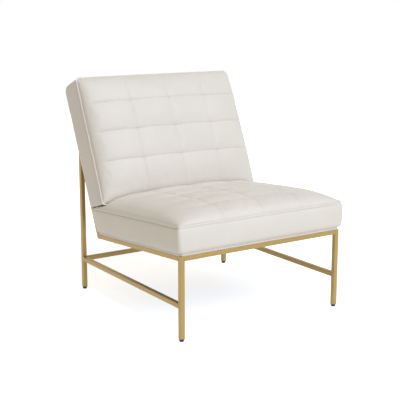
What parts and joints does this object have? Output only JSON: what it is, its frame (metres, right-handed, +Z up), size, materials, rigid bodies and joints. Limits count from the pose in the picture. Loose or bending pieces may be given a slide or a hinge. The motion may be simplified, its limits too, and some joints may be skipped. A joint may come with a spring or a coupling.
{
  "type": "lounge chair",
  "caption": "Armless leather slipper chair with a quilted seat and reclined back on a square-tube brass-finished metal frame with screw-in levelling glides.",
  "frame": {"origin": "on the floor, under the middle of the chair's bounding box", "axes": "+Z up; the chair faces -Y; +X points to the right of someone who looks at the chair's front"},
  "size_m": [0.754, 0.8688, 0.881],
  "materials": {
    "brushed_brass": "brushed",
    "cream_leather": "fine grain, semi-matt",
    "foam": "open-cell foam",
    "frame_wood": "sawn",
    "zinc_steel": "zinc plated",
    "black_cloth": "woven",
    "black_plastic": "matt"
  },
  "bodies": {
    "chair": {"back_bar_left": "brushed_brass", "back_bar_right": "brushed_brass", "back_board_bottom": "frame_wood", "back_board_top": "frame_wood", "back_bolt_lower_left": "zinc_steel", "back_bolt_lower_right": "zinc_steel", "back_bolt_upper_left": "zinc_steel", "back_bolt_upper_right": "zinc_steel", "back_cover": "cream_leather", "back_cross_bar": "brushed_brass", "back_foam": "foam", "back_rear_panel": "cream_leather", "back_stile_left": "frame_wood", "back_stile_right": "frame_wood", "back_web_1": "black_cloth", "back_web_2": "black_cloth", "back_web_3": "black_cloth", "back_welt": "cream_leather", "front_leg_left": "brushed_brass", "front_leg_right": "brushed_brass", "front_rail": "brushed_brass", "leg_plug_front_left": "black_plastic", "leg_plug_front_right": "black_plastic", "leg_plug_rear_left": "black_plastic", "leg_plug_rear_right": "black_plastic", "rear_post_left": "brushed_brass", "rear_post_right": "brushed_brass", "rear_rail": "brushed_brass", "rear_stretcher": "brushed_brass", "seat_board_front": "frame_wood", "seat_board_left": "frame_wood", "seat_board_rear": "frame_wood", "seat_board_right": "frame_wood", "seat_bolt_front_left": "zinc_steel", "seat_bolt_front_right": "zinc_steel", "seat_bolt_rear_left": "zinc_steel", "seat_bolt_rear_right": "zinc_steel", "seat_cover": "cream_leather", "seat_dust_cover": "black_cloth", "seat_foam": "foam", "seat_spring_1": "zinc_steel", "seat_spring_2": "zinc_steel", "seat_spring_3": "zinc_steel", "seat_spring_4": "zinc_steel", "seat_welt": "cream_leather", "side_rail_left": "brushed_brass", "side_rail_right": "brushed_brass", "side_stretcher_left": "brushed_brass", "side_stretcher_right": "brushed_brass"},
    "glide_front_left": {"foot_glide_front_left": "black_plastic"},
    "glide_front_right": {"foot_glide_front_right": "black_plastic"},
    "glide_rear_left": {"foot_glide_rear_left": "black_plastic"},
    "glide_rear_right": {"foot_glide_rear_right": "black_plastic"}
  },
  "joints": [
    {"name": "glide_front_left_screw", "type": "slide", "parent": "chair", "child": "glide_front_left", "axis": [0, 0, -1], "range_m": [0, 0.01]},
    {"name": "glide_front_right_screw", "type": "slide", "parent": "chair", "child": "glide_front_right", "axis": [0, 0, -1], "range_m": [0, 0.01]},
    {"name": "glide_rear_left_screw", "type": "slide", "parent": "chair", "child": "glide_rear_left", "axis": [0, 0, -1], "range_m": [0, 0.01]},
    {"name": "glide_rear_right_screw", "type": "slide", "parent": "chair", "child": "glide_rear_right", "axis": [0, 0, -1], "range_m": [0, 0.01]}
  ]
}
